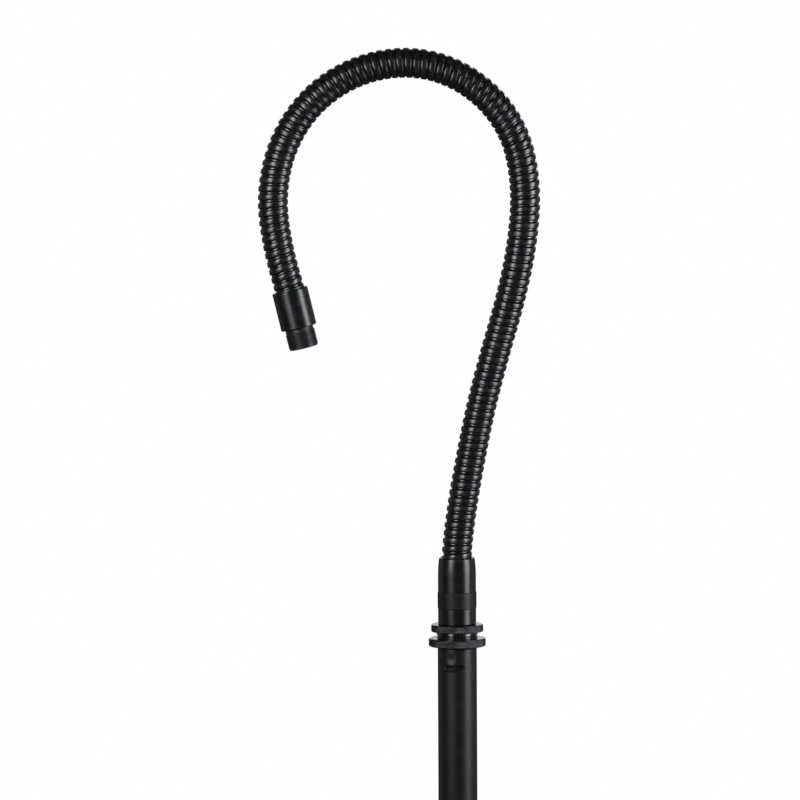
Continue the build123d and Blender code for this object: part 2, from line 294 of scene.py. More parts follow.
@dataclass(frozen=True)
class Finishes:
    """Every finish of the stand, from which its pieces make their materials."""

    # Electrophoretic black on drawn spring wire: the die's lines show as soft streaks.
    wire: BlackCoat = BlackCoat(
        "black_coated_spring_wire", "#0f0f10", "#1a1b1c",
        roughness=0.25, patch_roughness=0.37,
        patch_mm=2.6, peel_mm=0.9, peel_depth_mm=0.01,
        pattern=Pattern.DRAWN, line_mm=0.3, line_depth_mm=0.012, specular=0.68)
    inner_wire: BlackCoat = BlackCoat(
        "black_coated_round_wire", "#101011", "#18191a",
        roughness=0.19, patch_roughness=0.27,
        patch_mm=2.0, peel_mm=0.8, peel_depth_mm=0.004,
        pattern=Pattern.DRAWN, line_mm=0.3, line_depth_mm=0.006, specular=0.66)
    # Baked enamel on a turned brass sleeve: smoother than the tube, with faint turning rings.
    ferrule: BlackCoat = BlackCoat(
        "baked_black_enamel_on_ferrule", "#0c0c0d", "#101112",
        roughness=0.27, patch_roughness=0.33,
        patch_mm=5.0, peel_mm=3.0, peel_depth_mm=0.008,
        pattern=Pattern.TURNED, line_mm=0.9, line_depth_mm=0.0015)
    # The band that the swaging dies pressed is rougher.
    swage: BlackCoat = BlackCoat(
        "swage_marked_black_enamel", "#0b0b0c", "#111213",
        roughness=0.42, patch_roughness=0.52,
        patch_mm=1.8, peel_mm=1.6, peel_depth_mm=0.02,
        pattern=Pattern.TURNED, line_mm=0.3, line_depth_mm=0.01, specular=0.36)
    # Black oxide on cut steel: thin and fairly glossy, with tool marks.
    oxide: BlackCoat = BlackCoat(
        "black_oxide_on_cut_steel", "#111112", "#17181a",
        roughness=0.17, patch_roughness=0.23,
        patch_mm=3.0, peel_mm=2.0, peel_depth_mm=0.004,
        pattern=Pattern.TURNED, line_mm=0.6, line_depth_mm=0.002, specular=0.68)
    # The rolled thread is duller than the cut faces.
    thread: BlackCoat = BlackCoat(
        "black_oxide_on_rolled_thread", "#0f0f10", "#151617",
        roughness=0.42, patch_roughness=0.5,
        patch_mm=2.0, peel_mm=1.0, peel_depth_mm=0.006,
        pattern=Pattern.TURNED, line_mm=0.4, line_depth_mm=0.004)
    # Powder coat on the tube: a thicker, softer gloss with a fine orange peel.
    tube: BlackCoat = BlackCoat(
        "satin_black_powder_coat", "#090a0a", "#0c0c0d",
        roughness=0.4, patch_roughness=0.46,
        patch_mm=9.0, peel_mm=1.3, peel_depth_mm=0.02,
        specular=0.46)
    base: BlackCoat = BlackCoat(
        "textured_black_powder_coat", "#161617", "#1c1c1d",
        roughness=0.5, patch_roughness=0.6,
        patch_mm=6.0, peel_mm=1.1, peel_depth_mm=0.09)


# ------------------------------------------------------------------------------- turned parts

@dataclass(frozen=True)
class Corner:
    """Corner of a turned outline, in millimetres, and how far its edge is rounded."""

    radius: float
    height: float
    rounding: float = 0.0


def rounded_outline(corners: Sequence[Corner], steps: int = 4, support: float = 0.08) -> Outline:
    """Round the corners of a closed outline.

    Each rounded corner becomes an arc with one point a little before it and one after it, so that
    smooth shading turns over the arc alone and the flats stay flat.

    Args:
        corners: the outline's corners in order, as a closed loop.
        steps: faces in each arc.
        support: distance in millimetres from an arc's end to the point that holds the flat.

    Returns:
        Points of the outline as (radius, height).
    """
    points: Outline = []
    count = len(corners)
    for i, corner in enumerate(corners):
        here = Vector((corner.radius, corner.height))
        if not corner.rounding:
            points.append((here.x, here.y))
            continue
        before = corners[i - 1]
        after = corners[(i + 1) % count]
        back = (Vector((before.radius, before.height)) - here).normalized()
        ahead = (Vector((after.radius, after.height)) - here).normalized()
        half = back.angle(ahead) / 2
        reach = corner.rounding / math.tan(half)
        middle = here + (back + ahead).normalized() * corner.rounding / math.sin(half)
        first = here + back * reach - middle
        sweep = first.angle_signed(here + ahead * reach - middle)
        points.append(tuple(here + back * (reach + support)))
        for step in range(steps + 1):
            spoke = first.copy()
            spoke.rotate(Matrix.Rotation(-sweep * step / steps, 2))
            points.append(tuple(middle + spoke))
        points.append(tuple(here + ahead * (reach + support)))
    return points


def turned_mesh(
    name: str,
    outline: Outline,
    segments: int = 128,
    place: Matrix | None = None,
    swell: Callable[[float, float], float] | None = None,
    angles: Sequence[float] | None = None,
) -> bpy.types.Mesh:
    """Turn a closed outline about the Z axis.

    The vertices keep two attributes for the finishes: "height", their height in millimetres, and
    "turn", the distance in millimetres round the part.

    Args:
        name: the mesh's name.
        outline: closed loop of (radius, height) in millimetres.
        segments: faces round the part, where angles isn't given.
        place: where the part's own axis lies in the frame, in metres.
        swell: extra radius in millimetres at an angle and a height, for dents and bulges.
        angles: the angles of the columns in radians, where they aren't even.

    Returns:
        A closed mesh with outward faces.
    """
    columns = list(angles) if angles else [TURN * i / segments for i in range(segments)]
    shape = bmesh.new()
    height_layer = shape.verts.layers.float.new("height")
    turn_layer = shape.verts.layers.float.new("turn")
    rows = []
    for angle in columns:
        row = []
        for radius, height in outline:
            grown = radius + (swell(angle, height) if swell and radius else 0.0)
            spot = Vector((grown * math.cos(angle), grown * math.sin(angle), height)) * MM
            vertex = shape.verts.new(spot)
            vertex[height_layer] = height
            vertex[turn_layer] = angle * radius
            row.append(vertex)
        rows.append(row)
    count = len(outline)
    for i, row in enumerate(rows):
        following = rows[(i + 1) % len(rows)]
        for j in range(count):
            k = (j + 1) % count
            if outline[j][0] or outline[k][0]:
                shape.faces.new((row[j], following[j], following[k], row[k]))
    bmesh.ops.remove_doubles(shape, verts=shape.verts, dist=WELD)
    bmesh.ops.recalc_face_normals(shape, faces=shape.faces)
    if place:
        bmesh.ops.transform(shape, matrix=place, verts=shape.verts)
    mesh = bpy.data.meshes.new(name)
    shape.to_mesh(mesh)
    shape.free()
    mesh.shade_smooth()
    return mesh


def finish_piece(
    piece: bpy.types.Object,
    finish: bpy.types.Material,
    body: str,
    slot: str,
    *nodes: str,
) -> None:
    """Dress a rigid piece and hang it on its body.

    Args:
        piece: the finished piece.
        finish: its material.
        body: the CAD body that it moves with.
        slot: the record's material slot; not used.
        nodes: CAD nodes that it stands for.
    """
    piece.data.materials.clear()
    piece.data.materials.append(finish)
    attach(piece, body)
    if nodes:
        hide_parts(*nodes)
    LOG.info("%s: %d faces on %s", piece.name, len(piece.data.polygons), body)


# ------------------------------------------------------------------------------- geometry nodes

def new_tree(name: str, inputs: dict[str, str]) -> bpy.types.NodeTree:
    """Start a Geometry Nodes tree with a geometry in and out and its inputs, kinds by name."""
    tree = bpy.data.node_groups.new(name, "GeometryNodeTree")
    geometry = "NodeSocketGeometry"
    for label, kind in {"Geometry": geometry, **inputs}.items():
        tree.interface.new_socket(label, in_out="INPUT", socket_type=kind)
    tree.interface.new_socket("Geometry", in_out="OUTPUT", socket_type=geometry)
    return tree


def end_tree(
    tree: bpy.types.NodeTree, geometry: bpy.types.Node, finish: bpy.types.NodeSocket
) -> None:
    """End a tree in Realize Instances and Set Material.

    Args:
        tree: the tree.
        geometry: the last node that shapes the geometry.
        finish: the input that holds the material.
    """
    real = add_node(tree, "GeometryNodeRealizeInstances", geometry)
    dressed = add_node(tree, "GeometryNodeSetMaterial", real, links={"Material": finish})
    add_node(tree, "NodeGroupOutput", dressed)


def run_tree(
    name: str, tree: bpy.types.NodeTree, host_mesh: bpy.types.Mesh, values: dict[str, Any]
) -> bpy.types.Object:
    """Run a tree on a mesh and keep the result as a plain mesh piece.

    Args:
        name: the new piece's name.
        tree: the Geometry Nodes tree.
        host_mesh: the mesh that goes in the tree.
        values: value of each named input.

    Returns:
        An object whose mesh is the tree's result, with outward faces, flat caps and no modifier.
    """
    host = new_object(name + "_host", host_mesh)
    modifier = host.modifiers.new("make", "NODES")
    modifier.node_group = tree
    for item in tree.interface.items_tree:
        if item.item_type == "SOCKET" and item.in_out == "INPUT" and item.name in values:
            modifier[item.identifier] = values[item.name]
    bpy.context.view_layer.update()
    made = host.evaluated_get(bpy.context.evaluated_depsgraph_get())
    mesh = bpy.data.meshes.new_from_object(made)
    mesh.name = name
    host.modifiers.remove(modifier)
    bpy.data.objects.remove(host)
    quad = 4
    shape = bmesh.new()
    shape.from_mesh(mesh)
    bmesh.ops.recalc_face_normals(shape, faces=shape.faces)
    for face in shape.faces:
        face.smooth = len(face.verts) <= quad
    shape.to_mesh(mesh)
    shape.free()
    return new_object(name, mesh)


def line_mesh(name: str, points: Sequence[Vector], closed: bool = False) -> bpy.types.Mesh:
    """Mesh of a chain of edges through points in metres."""
    edges = [(i, i + 1) for i in range(len(points) - 1)]
    if closed:
        edges.append((len(points) - 1, 0))
    mesh = bpy.data.meshes.new(name)
    mesh.from_pydata([tuple(p) for p in points], edges, [])
    return mesh


def wound_wire_tree() -> bpy.types.NodeTree:
    """Tree that winds a wire of any section round a centre line that lies in the XZ plane.

    It is used for the two wires of the neck and for the screw thread. The section is a closed loop
    of edges: its X axis points away from the centre line and its Y axis along it.
    """
    number = "NodeSocketFloat"
    names = ("Radius", "First angle", "Start", "Length", "Stray", "Stray length", "Run-out", "Seed")
    tree = new_tree("wound_wire", {
        "Section": "NodeSocketObject",
        "Turns": number,
        "Steps per turn": "NodeSocketInt",
        **dict.fromkeys(names, number),
        "Material": "NodeSocketMaterial",
    })
    add = partial(add_node, tree)
    given = add("NodeGroupInput").outputs
    centre_line = add("GeometryNodeMeshToCurve", given["Geometry"])
    steps = add(MATH, given["Turns"], given["Steps per turn"], operation="MULTIPLY")
    last = add(MATH, steps, operation="ROUND")
    count = add(MATH, last, 1.0, operation="ADD")
    string = add("GeometryNodeMeshLine", links={"Count": count})
    helix = add("GeometryNodeMeshToCurve", string)
    share = add(MATH, add("GeometryNodeInputIndex"), last, operation="DIVIDE")
    spot = add("GeometryNodeSampleCurve", mode="FACTOR", use_all_curves=True, links={
        "Curves": centre_line, "Factor": share}).outputs
    tangent = spot["Tangent"]
    sideways = tuple(SIDEWAYS)
    square = add(VECTOR_MATH, sideways, tangent, operation="CROSS_PRODUCT")
    inside = add(VECTOR_MATH, square, operation="NORMALIZE")

    # The turns stray a little from an even spacing along the hose.
    distance = add(MATH, share, given["Length"], given["Start"], operation="MULTIPLY_ADD")
    wave = add(MATH, distance, given["Stray length"], operation="DIVIDE")
    seeded = add(MATH, wave, given["Seed"], operation="ADD")
    noise = add("ShaderNodeTexNoise", noise_dimensions="1D", links={
        "W": seeded, "Scale": 1.0, "Detail": 1.0})
    middle = 0.5
    either_way = add(MATH, noise, middle, operation="SUBTRACT")
    stray = add(MATH, either_way, given["Stray"], operation="MULTIPLY")

    # Each point of the wire lies at its own angle about the centre line.
    turns_in = add(MATH, share, given["Turns"], operation="MULTIPLY")
    turned = add(MATH, turns_in, TURN, operation="MULTIPLY")
    angle = add(MATH, turned, given["First angle"], operation="ADD")
    cosine = add(MATH, angle, operation="COSINE")
    sine = add(MATH, angle, operation="SINE")
    radial = add(
        VECTOR_MATH,
        add(VECTOR_MATH, inside, operation="SCALE", links={"Scale": cosine}),
        add(VECTOR_MATH, sideways, operation="SCALE", links={"Scale": sine}),
        operation="ADD")
    from_line = add(VECTOR_MATH, radial, operation="SCALE", links={"Scale": given["Radius"]})
    shift = add(VECTOR_MATH, tangent, operation="SCALE", links={"Scale": stray})
    off_line = add(VECTOR_MATH, from_line, shift, operation="ADD")
    place = add(VECTOR_MATH, spot["Position"], off_line, operation="ADD")
    arc = add(MATH, angle, given["Radius"], operation="MULTIPLY")
    arc_mm = add(MATH, arc, 1 / MM, operation="MULTIPLY")
    laid = add("GeometryNodeStoreNamedAttribute", data_type="FLOAT", links={
        "Geometry": helix, "Name": "run", "Value": arc_mm})
    wound = add("GeometryNodeSetPosition", laid, links={"Position": place})
    faced = add("GeometryNodeSetCurveNormal", wound, mode="FREE", links={"Normal": radial})

    # A run-out thins both ends; where it is nothing, the ends stay whole.
    hair, least_run_out, least_size = 1e-4, 1e-6, 0.02
    turns_left = add(MATH, given["Turns"], turns_in, operation="SUBTRACT")
    nearest = add(MATH, turns_in, turns_left, operation="MINIMUM")
    above_nothing = add(MATH, nearest, hair, operation="ADD")
    run_out = add(MATH, given["Run-out"], least_run_out, operation="MAXIMUM")
    grown = add(MATH, above_nothing, run_out, operation="DIVIDE")
    size = add("ShaderNodeMapRange", links={
        "Value": grown, "To Min": least_size, "To Max": 1.0})
    section = add("GeometryNodeObjectInfo", links={"Object": given["Section"]})
    loop = add("GeometryNodeMeshToCurve", section.outputs["Geometry"])
    body = add("GeometryNodeCurveToMesh", faced, loop, links={"Scale": size, "Fill Caps": True})
    end_tree(tree, add("GeometryNodeSetShadeSmooth", body), given["Material"])
    return tree


def knurled_rim_tree() -> bpy.types.NodeTree:
    """Tree that presses a diamond knurl into the rim of a turned ring.

    The ring comes in as a plain mesh whose rim is a fine grid, with a "rim" attribute that is one
    on the rim and falls to nothing at its two edges. Two sets of slanting grooves cross and leave
    diamonds, whose points are worn flat.
    """
    tree = new_tree("knurled_rim", {
        "Diamonds": "NodeSocketInt",
        "Diamond height": "NodeSocketFloat",
        "Depth": "NodeSocketFloat",
        "Material": "NodeSocketMaterial",
    })
    add = partial(add_node, tree)
    worn = 0.62
    given = add("NodeGroupInput").outputs
    place = add("GeometryNodeInputPosition")
    parts = add("ShaderNodeSeparateXYZ", place).outputs
    angle = add(MATH, parts[1], parts[0], operation="ARCTAN2")
    turns = add(MATH, angle, TURN, operation="DIVIDE")
    across = add(MATH, turns, given["Diamonds"], operation="MULTIPLY")
    upward = add(MATH, parts[2], given["Diamond height"], operation="DIVIDE")
    grooves = []
    for operation in ("ADD", "SUBTRACT"):
        slant = add(MATH, across, upward, operation=operation)
        fold = add(MATH, slant, 0.5, operation="PINGPONG")
        grooves.append(add(MATH, fold, 2.0, operation="MULTIPLY"))
    land = add(MATH, *grooves, operation="MINIMUM")
    flat_top = add(MATH, land, worn, operation="MINIMUM")
    below_top = add(MATH, worn, flat_top, operation="SUBTRACT")
    cut = add(MATH, below_top, given["Depth"], operation="MULTIPLY")
    rim = add("GeometryNodeInputNamedAttribute", data_type="FLOAT", links={"Name": "rim"})
    deep = add(MATH, cut, rim, operation="MULTIPLY")
    inwards = add(MATH, deep, -1.0, operation="MULTIPLY")
    level = add(VECTOR_MATH, place, (1.0, 1.0, 0.0), operation="MULTIPLY")
    outward = add(VECTOR_MATH, level, operation="NORMALIZE")
    offset = add(VECTOR_MATH, outward, operation="SCALE", links={"Scale": inwards})
    pressed = add("GeometryNodeSetPosition", given["Geometry"], links={"Offset": offset})
    end_tree(tree, pressed, given["Material"])
    return tree


# ------------------------------------------------------------------------------- the neck's line

@dataclass(frozen=True)
class Bend:
    """One arc of the neck's centre line in the XZ plane, in metres and radians."""

    start: Vector
    heading: float
    turn: float
    length: float

    def at(self, distance: float) -> tuple[Vector, float]:
        """Point and heading at a distance along the bend; past its ends the line is straight."""
        inside = min(max(distance, 0.0), self.length)
        heading = self.heading + self.turn * inside / self.length
        middle = (self.heading + heading) / 2
        half = (heading - self.heading) / 2
        chord = inside * (math.sin(half) / half if abs(half) > STRAIGHT else 1.0)
        point = self.start + heading_vector(middle) * chord
        return point + heading_vector(heading) * (distance - inside), heading


def heading_vector(heading: float) -> Vector:
    """Unit vector in the XZ plane at an angle from +X towards +Z."""
    return Vector((math.cos(heading), 0, math.sin(heading)))


class NeckLine:
    """Centre line of the gooseneck, worked out from the joints of the frame."""

    def __init__(self, ferrule_top: Vector, joints: Sequence[Vector], hose_end: Vector) -> None:
        """Lay arcs through the joints.

        Args:
            ferrule_top: where the hose leaves the lower ferrule, straight up.
            joints: the joints between the links in order, in metres.
            hose_end: where the hose enters the upper ferrule.
        """
        points = [ferrule_top, *joints, hose_end]
        heading = QUARTER
        self.bends: list[Bend] = []
        self.joint_runs: list[float] = []
        run = 0.0
        for start, end in zip(points, points[1:]):
            chord = end - start
            slope = math.atan2(chord.z, chord.x)
            half = (slope - heading + math.pi) % TURN - math.pi
            length = chord.length * (half / math.sin(half) if abs(half) > STRAIGHT else 1.0)
            self.bends.append(Bend(start, heading, 2 * half, length))
            heading += 2 * half
            run += length
            self.joint_runs.append(run)
        self.length = self.joint_runs.pop()

    def at(self, run: float) -> tuple[Vector, float]:
        """Point in metres and heading in radians at a distance along the hose."""
        for bend in self.bends[:-1]:
            if run <= bend.length:
                return bend.at(run)
            run -= bend.length
        return self.bends[-1].at(run)


# ------------------------------------------------------------------------------- sub-assemblies

@dataclass
class Gooseneck:
    """The two wound wires, cut at the middle of each link so that each piece crosses one joint."""

    line: NeckLine
    pitch: float = 4.28
    crest_radius: float = 8.0
    band_width: float = 2.95
    shoulder_drop: float = 0.17
    shoulder_rounding: float = 0.2
    root_radius: float = 5.0
    root_half_width: float = 0.35
    section_depth: float = 1.0
    face_steps: int = 6
    wire_radius: float = 1.35
    wire_sides: int = 12
    wire_centre_radius: float = 6.0
    wire_lean: float = 0.2
    tucked: float = 11.0
    band_steps: int = 64
    wire_steps: int = 56
    stray: float = 0.55
    stray_length: float = 9.0
    first_angle: float = math.radians(200)
    blend_inset: float = 1.8
    line_step: float = 1.0
    seed: float = 3.7
    tree: bpy.types.NodeTree = field(default_factory=wound_wire_tree)

    def band_section(self) -> bpy.types.Object:
        """Section of the outer wire: a crowned face, rounded shoulders and a narrow root."""
        half = self.band_width / 2
        crown = half * half / (2 * self.shoulder_drop)
        reach = half - self.shoulder_rounding
        loop: Outline = []
        for i in range(self.face_steps + 1):
            y = reach * (2 * i / self.face_steps - 1)
            loop.append((self.crest_radius - y * y / (2 * crown), y))
        edge = self.crest_radius - self.shoulder_drop
        low = edge - self.shoulder_rounding
        corner = (edge - 0.35 * self.shoulder_rounding, half - 0.2 * self.shoulder_rounding)
        side = [corner, (low, half), (self.root_radius, self.root_half_width)]
        loop += side + [(x, -y) for x, y in reversed(side)]
        centre = self.crest_radius - self.section_depth
        return self.section("outer_wire_section", [(x - centre, y) for x, y in loop])

    def wire_section(self) -> bpy.types.Object:
        """Section of the inner wire: round."""
        angles = [TURN * i / self.wire_sides for i in range(self.wire_sides)]
        return self.section("inner_wire_section", [
            (self.wire_radius * math.cos(a), self.wire_radius * math.sin(a)) for a in angles])

    @staticmethod
    def section(name: str, loop: Outline) -> bpy.types.Object:
        """Closed loop of edges with a "round" attribute, the distance round it in millimetres."""
        mesh = line_mesh(name, [Vector((x, y, 0)) * MM for x, y in loop], closed=True)
        around = mesh.attributes.new("round", "FLOAT", "POINT")
        run = 0.0
        for i, (x, y) in enumerate(loop):
            if i:
                run += math.hypot(x - loop[i - 1][0], y - loop[i - 1][1])
            around.data[i].value = run
        return new_object(name, mesh)

    def wind(
        self,
        name: str,
        section: bpy.types.Object,
        radius: float,
        steps: int,
        lead: float,
        start: float,
        end: float,
        finish: bpy.types.Material,
    ) -> bpy.types.Object:
        """Wind one piece of a wire.

        Args:
            name: the piece's name.
            section: the wire's section.
            radius: where the section's origin lies from the centre line, in millimetres.
            steps: faces in each turn.
            lead: how far along the hose the wire is from the outer one, in millimetres.
            start: where the piece starts along the hose, in metres.
            end: where it ends, in metres.
            finish: its material.

        Returns:
            The wound piece.
        """
        count = max(2, round((end - start) / (self.line_step * MM)))
        points = [self.line.at(start + (end - start) * i / count)[0] for i in range(count + 1)]
        return run_tree(name, self.tree, line_mesh(name + "_line", points), {
            "Section": section,
            "Turns": (end - start) / (self.pitch * MM),
            "Steps per turn": steps,
            "Radius": radius * MM,
            "First angle": self.first_angle + TURN * (start / MM - lead) / self.pitch,
            "Start": start,
            "Length": end - start,
            "Stray": self.stray * MM,
            "Stray length": self.stray_length * MM,
            "Run-out": 0.0,
            "Seed": self.seed,
            "Material": finish,
        })

    def build(self, finishes: Finishes) -> None:
        """Wind both wires in pieces, each crossing its own joint."""
        joints = self.line.joint_runs
        links = [f"link_{i:02d}" for i in range(1, len(joints))]
        parts = ["foot", *links, "tip"]
        cuts = [-self.tucked * MM]
        cuts += [(a + b) / 2 for a, b in zip(joints, joints[1:])]
        cuts.append(self.line.length + self.tucked * MM)
        wires = [
            ("outer_wire", self.band_section(), self.crest_radius - self.section_depth,
             self.band_steps, 0.0, finishes.wire.material(), "wrap_wire", "wrap"),
            ("inner_wire", self.wire_section(), self.wire_centre_radius, self.wire_steps,
             self.pitch / 2 + self.wire_lean, finishes.inner_wire.material(), "coil_wire", "coil"),
        ]
        for label, section, radius, steps, lead, finish, slot, kind in wires:
            for i, joint in enumerate(joints):
                name = f"{label}_{i + 1:02d}"
                piece = self.wind(
                    name, section, radius, steps, lead, cuts[i], cuts[i + 1], finish)
                reach = min(joint - max(cuts[i], 0.0), min(cuts[i + 1], self.line.length) - joint)
                reach -= self.blend_inset * MM
                first, last = self.line.at(joint - reach)[0], self.line.at(joint + reach)[0]
                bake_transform(piece)
                held = parts[i:] if i == len(joints) - 1 else parts[i:i + 1]
                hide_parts(*[self.node_name(kind, part) for part in held])
                LOG.info("%s: %d faces across joint %d", name, len(piece.data.polygons), i + 1)
            bpy.data.objects.remove(section)

    @staticmethod
    def node_name(kind: str, part: str) -> str:
        """Name of the CAD node of one wire in one part of the neck."""
        return f"{kind}_{part}" if part.startswith("link") else f"{part}_{kind}"


@dataclass
class FootFerrule:
    """Sleeve that the hose is swaged into, with a band that the dies left."""

    edge: float = 0.5
    shoulder_height: float = 9.5
    shoulder_drop: float = 0.6
    shoulder_steps: int = 8
    band_start: float = 8.5
    band_end: float = 17.5
    band_rise: float = 0.25
    band_ramp: float = 0.35
    bore_radius: float = 8.1
    bore_edge: float = 0.15
    bush_wall: float = 0.93
    bush_length: float = 20.0
    mouth_drop: float = 0.1
    mouth_edge: float = 0.6
    wall_inset: float = 1.1

    def build(self, finishes: Finishes) -> None:
        """Turn the sleeve and the swaged band."""
        low, top = node_bottom("foot_ferrule"), node_top("foot_ferrule")
        radius = node_radius("foot_ferrule") - self.band_rise
        raised = radius + self.band_rise
        seat, bush = low + self.bush_length, self.bore_radius + self.bush_wall
        start, end = low + self.band_start, low + self.band_end
        corners = [
            Corner(self.bore_radius, top, self.bore_edge),
            Corner(self.bore_radius, seat),
            Corner(bush, seat),
            Corner(bush, low),
            Corner(radius, low, self.edge),
            Corner(radius, start, 0.1),
            Corner(raised, start + self.band_ramp, 0.15),
            Corner(raised, end - self.band_ramp, 0.15),
            Corner(radius, end, 0.1),
        ]
        foot = top - self.shoulder_height
        for i in range(self.shoulder_steps):
            share = i / self.shoulder_steps
            drop = self.shoulder_drop * (1 - math.cos(share * QUARTER))
            corners.append(Corner(radius - drop, foot + share * self.shoulder_height))
        mouth = radius - self.shoulder_drop - self.mouth_drop
        corners.append(Corner(mouth, top, self.mouth_edge))
        mesh = turned_mesh("foot_ferrule_sleeve", rounded_outline(corners))
        piece = new_object("foot_ferrule_sleeve", mesh)
        finish_piece(
            piece, finishes.ferrule.material(), "neck_foot", "black_ferrules", "foot_ferrule")
        self.dress_band(piece, low, finishes.swage.material())

    def dress_band(
        self, piece: bpy.types.Object, low: float, finish: bpy.types.Material
    ) -> None:
        """Give the swaged band its own rougher finish.

        Args:
            piece: the sleeve.
            low: height of its underside in millimetres.
            finish: material of the band.
        """
        piece.data.materials.append(finish)
        start, end = (low + self.band_start) * MM, (low + self.band_end) * MM
        for face in piece.data.polygons:
            out = face.center.xy.length > (self.bore_radius + self.wall_inset) * MM
            if out and start < face.center.z < end:
                face.material_index = 1


@dataclass
class TipFerrule:
    """Sleeve at the tip and the hollow stud with its 5/8-27 thread."""

    length: float = 20.6
    edge: float = 0.55
    bore_radius: float = 8.1
    root_radius: float = 7.45
    collar_radius: float = 8.05
    relief_length: float = 1.6
    thread_radius: float = 7.9375
    thread_length: float = 8.9
    thread_pitch: float = 25.4 / 27
    thread_depth: float = 0.4
    thread_steps: int = 72
    thread_run_out: float = 0.35
    chamfer: float = 0.5
    ridge_base: float = 0.47
    ridge_crest: float = 0.24
    ridge_rounding: float = 0.03
    ridge_sunk: float = 0.1
    bore_edge: float = 0.15
    stud_bore: float = 4.75
    collar_length: float = 8.0

    def place(self, line: NeckLine) -> Matrix:
        """Matrix that puts a part turned about +Z on the end of the hose, along its heading."""
        point, heading = line.at(line.length)
        return Matrix.Translation(point) @ Matrix.Rotation(QUARTER - heading, 4, "Y")

    def sleeve(self, place: Matrix) -> bpy.types.Object:
        """Turn the sleeve."""
        radius = node_radius("tip_ferrule")
        corners = [
            Corner(self.bore_radius, 0, self.bore_edge),
            Corner(radius, 0, self.edge),
            Corner(radius, self.length, self.edge),
            Corner(self.bore_radius, self.length, self.bore_edge),
        ]
        mesh = turned_mesh("tip_ferrule_sleeve", rounded_outline(corners), place=place)
        return new_object("tip_ferrule_sleeve", mesh)

    def stud(self, place: Matrix) -> bpy.types.Object:
        """Turn the stud at the root of its thread, with the run-out groove behind it."""
        start = self.length + self.relief_length
        end = start + self.thread_length + self.chamfer
        root = self.thread_radius - self.thread_depth
        corners = [
            Corner(self.stud_bore, self.length - self.collar_length, 0.1),
            Corner(self.collar_radius, self.length - self.collar_length, 0.1),
            Corner(self.collar_radius, self.length + 0.05, 0.02),
            Corner(self.root_radius, self.length + 0.15, 0.1),
            Corner(self.root_radius, start - 0.25, 0.1),
            Corner(root, start, 0.05),
            Corner(root, end, 0.3),
            Corner(self.stud_bore, end, 0.3),
        ]
        mesh = turned_mesh("tip_stud_core", rounded_outline(corners), place=place)
        return new_object("tip_stud_core", mesh)

    def thread(self, place: Matrix, finish: bpy.types.Material) -> bpy.types.Object:
        """Wind the thread's ridge round the stud."""
        start = self.length + self.relief_length - 0.1
        end = self.length + self.relief_length + self.thread_length + 0.25
        crest, depth = self.thread_pitch * self.ridge_crest, self.thread_depth
        side = [
            (-self.ridge_sunk, -self.thread_pitch * self.ridge_base),
            (depth - self.ridge_rounding, -crest),
            (depth, -crest * 0.6)]
        loop = side + [(x, -y) for x, y in reversed(side)]
        section = Gooseneck.section("thread_section", loop)
        pitch_half = self.thread_pitch / 2
        first = place @ (UP * (start + pitch_half) * MM)
        last = place @ (UP * (end - pitch_half) * MM)
        spans = 8
        points = [first.lerp(last, i / spans) for i in range(spans + 1)]
        piece = run_tree("tip_stud_thread", wound_wire_tree(), line_mesh("stud_axis", points), {
            "Section": section,
            "Turns": (end - start - self.thread_pitch) / self.thread_pitch,
            "Steps per turn": self.thread_steps,
            "Radius": (self.thread_radius - depth) * MM,
            "First angle": 0.0,
            "Start": 0.0,
            "Length": (last - first).length,
            "Stray": 0.0,
            "Stray length": 1.0,
            "Run-out": self.thread_run_out,
            "Seed": 0.0,
            "Material": finish,
        })
        bpy.data.objects.remove(section)
        return piece

    def build(self, line: NeckLine, finishes: Finishes) -> None:
        """Make the sleeve, the stud and its thread."""
        place = self.place(line)
        finish_piece(
            self.sleeve(place), finishes.ferrule.material(), "neck_tip", "black_ferrules",
            "tip_ferrule")
        rolled = finishes.thread.material()
        finish_piece(self.stud(place), rolled, "neck_tip", "black_stud", "tip_stud")
        finish_piece(self.thread(place, rolled), rolled, "neck_tip", "black_stud")


@dataclass
class KnurledRing:
    """Outline of a ring with a knurled rim, in millimetres."""

    radius: float
    low: float
    high: float
    edge: float
    diamonds: int
    diamond_height: float = 1.4
    depth: float = 0.5
    rows: int = 28
    columns_per_diamond: int = 10
    edge_slope: float = 0.8
    fade: float = 0.35
    least_cut: float = 0.35
    near_rim: float = 0.02

    @property
    def span(self) -> tuple[float, float]:
        """Heights between which the rim is straight."""
        bevel = self.edge * self.edge_slope
        return self.low + bevel, self.high - bevel

    @property
    def columns(self) -> int:
        """Columns of the turned mesh, enough to draw each diamond."""
        return self.diamonds * self.columns_per_diamond

    def rim(self) -> Outline:
        """Points of the rim from its lower to its upper edge, with the edges bevelled."""
        start, end = self.span
        points = [
            (self.radius, start + (end - start) * i / self.rows) for i in range(self.rows + 1)]
        inner = self.radius - self.edge
        return [(inner, self.low), *points, (inner, self.high)]

    def press(
        self, name: str, mesh: bpy.types.Mesh, finish: bpy.types.Material
    ) -> bpy.types.Object:
        """Press the knurl into a turned mesh that has this rim.

        Args:
            name: the piece's name.
            mesh: the turned ring or fitting.
            finish: its material.

        Returns:
            The knurled piece.
        """
        mark = mesh.attributes.new("rim", "FLOAT", "POINT")
        start, end = self.span
        for vertex in mesh.vertices:
            height = vertex.co.z / MM
            on_rim = vertex.co.xy.length / MM > self.radius - self.near_rim
            depth_in = min(height - start, end - height)
            cut = min(1.0, self.least_cut + depth_in / self.fade)
            mark.data[vertex.index].value = cut if on_rim else 0.0
        return run_tree(name, knurled_rim_tree(), mesh, {
            "Diamonds": self.diamonds,
            "Diamond height": self.diamond_height * MM,
            "Depth": self.depth * MM,
            "Material": finish,
        })


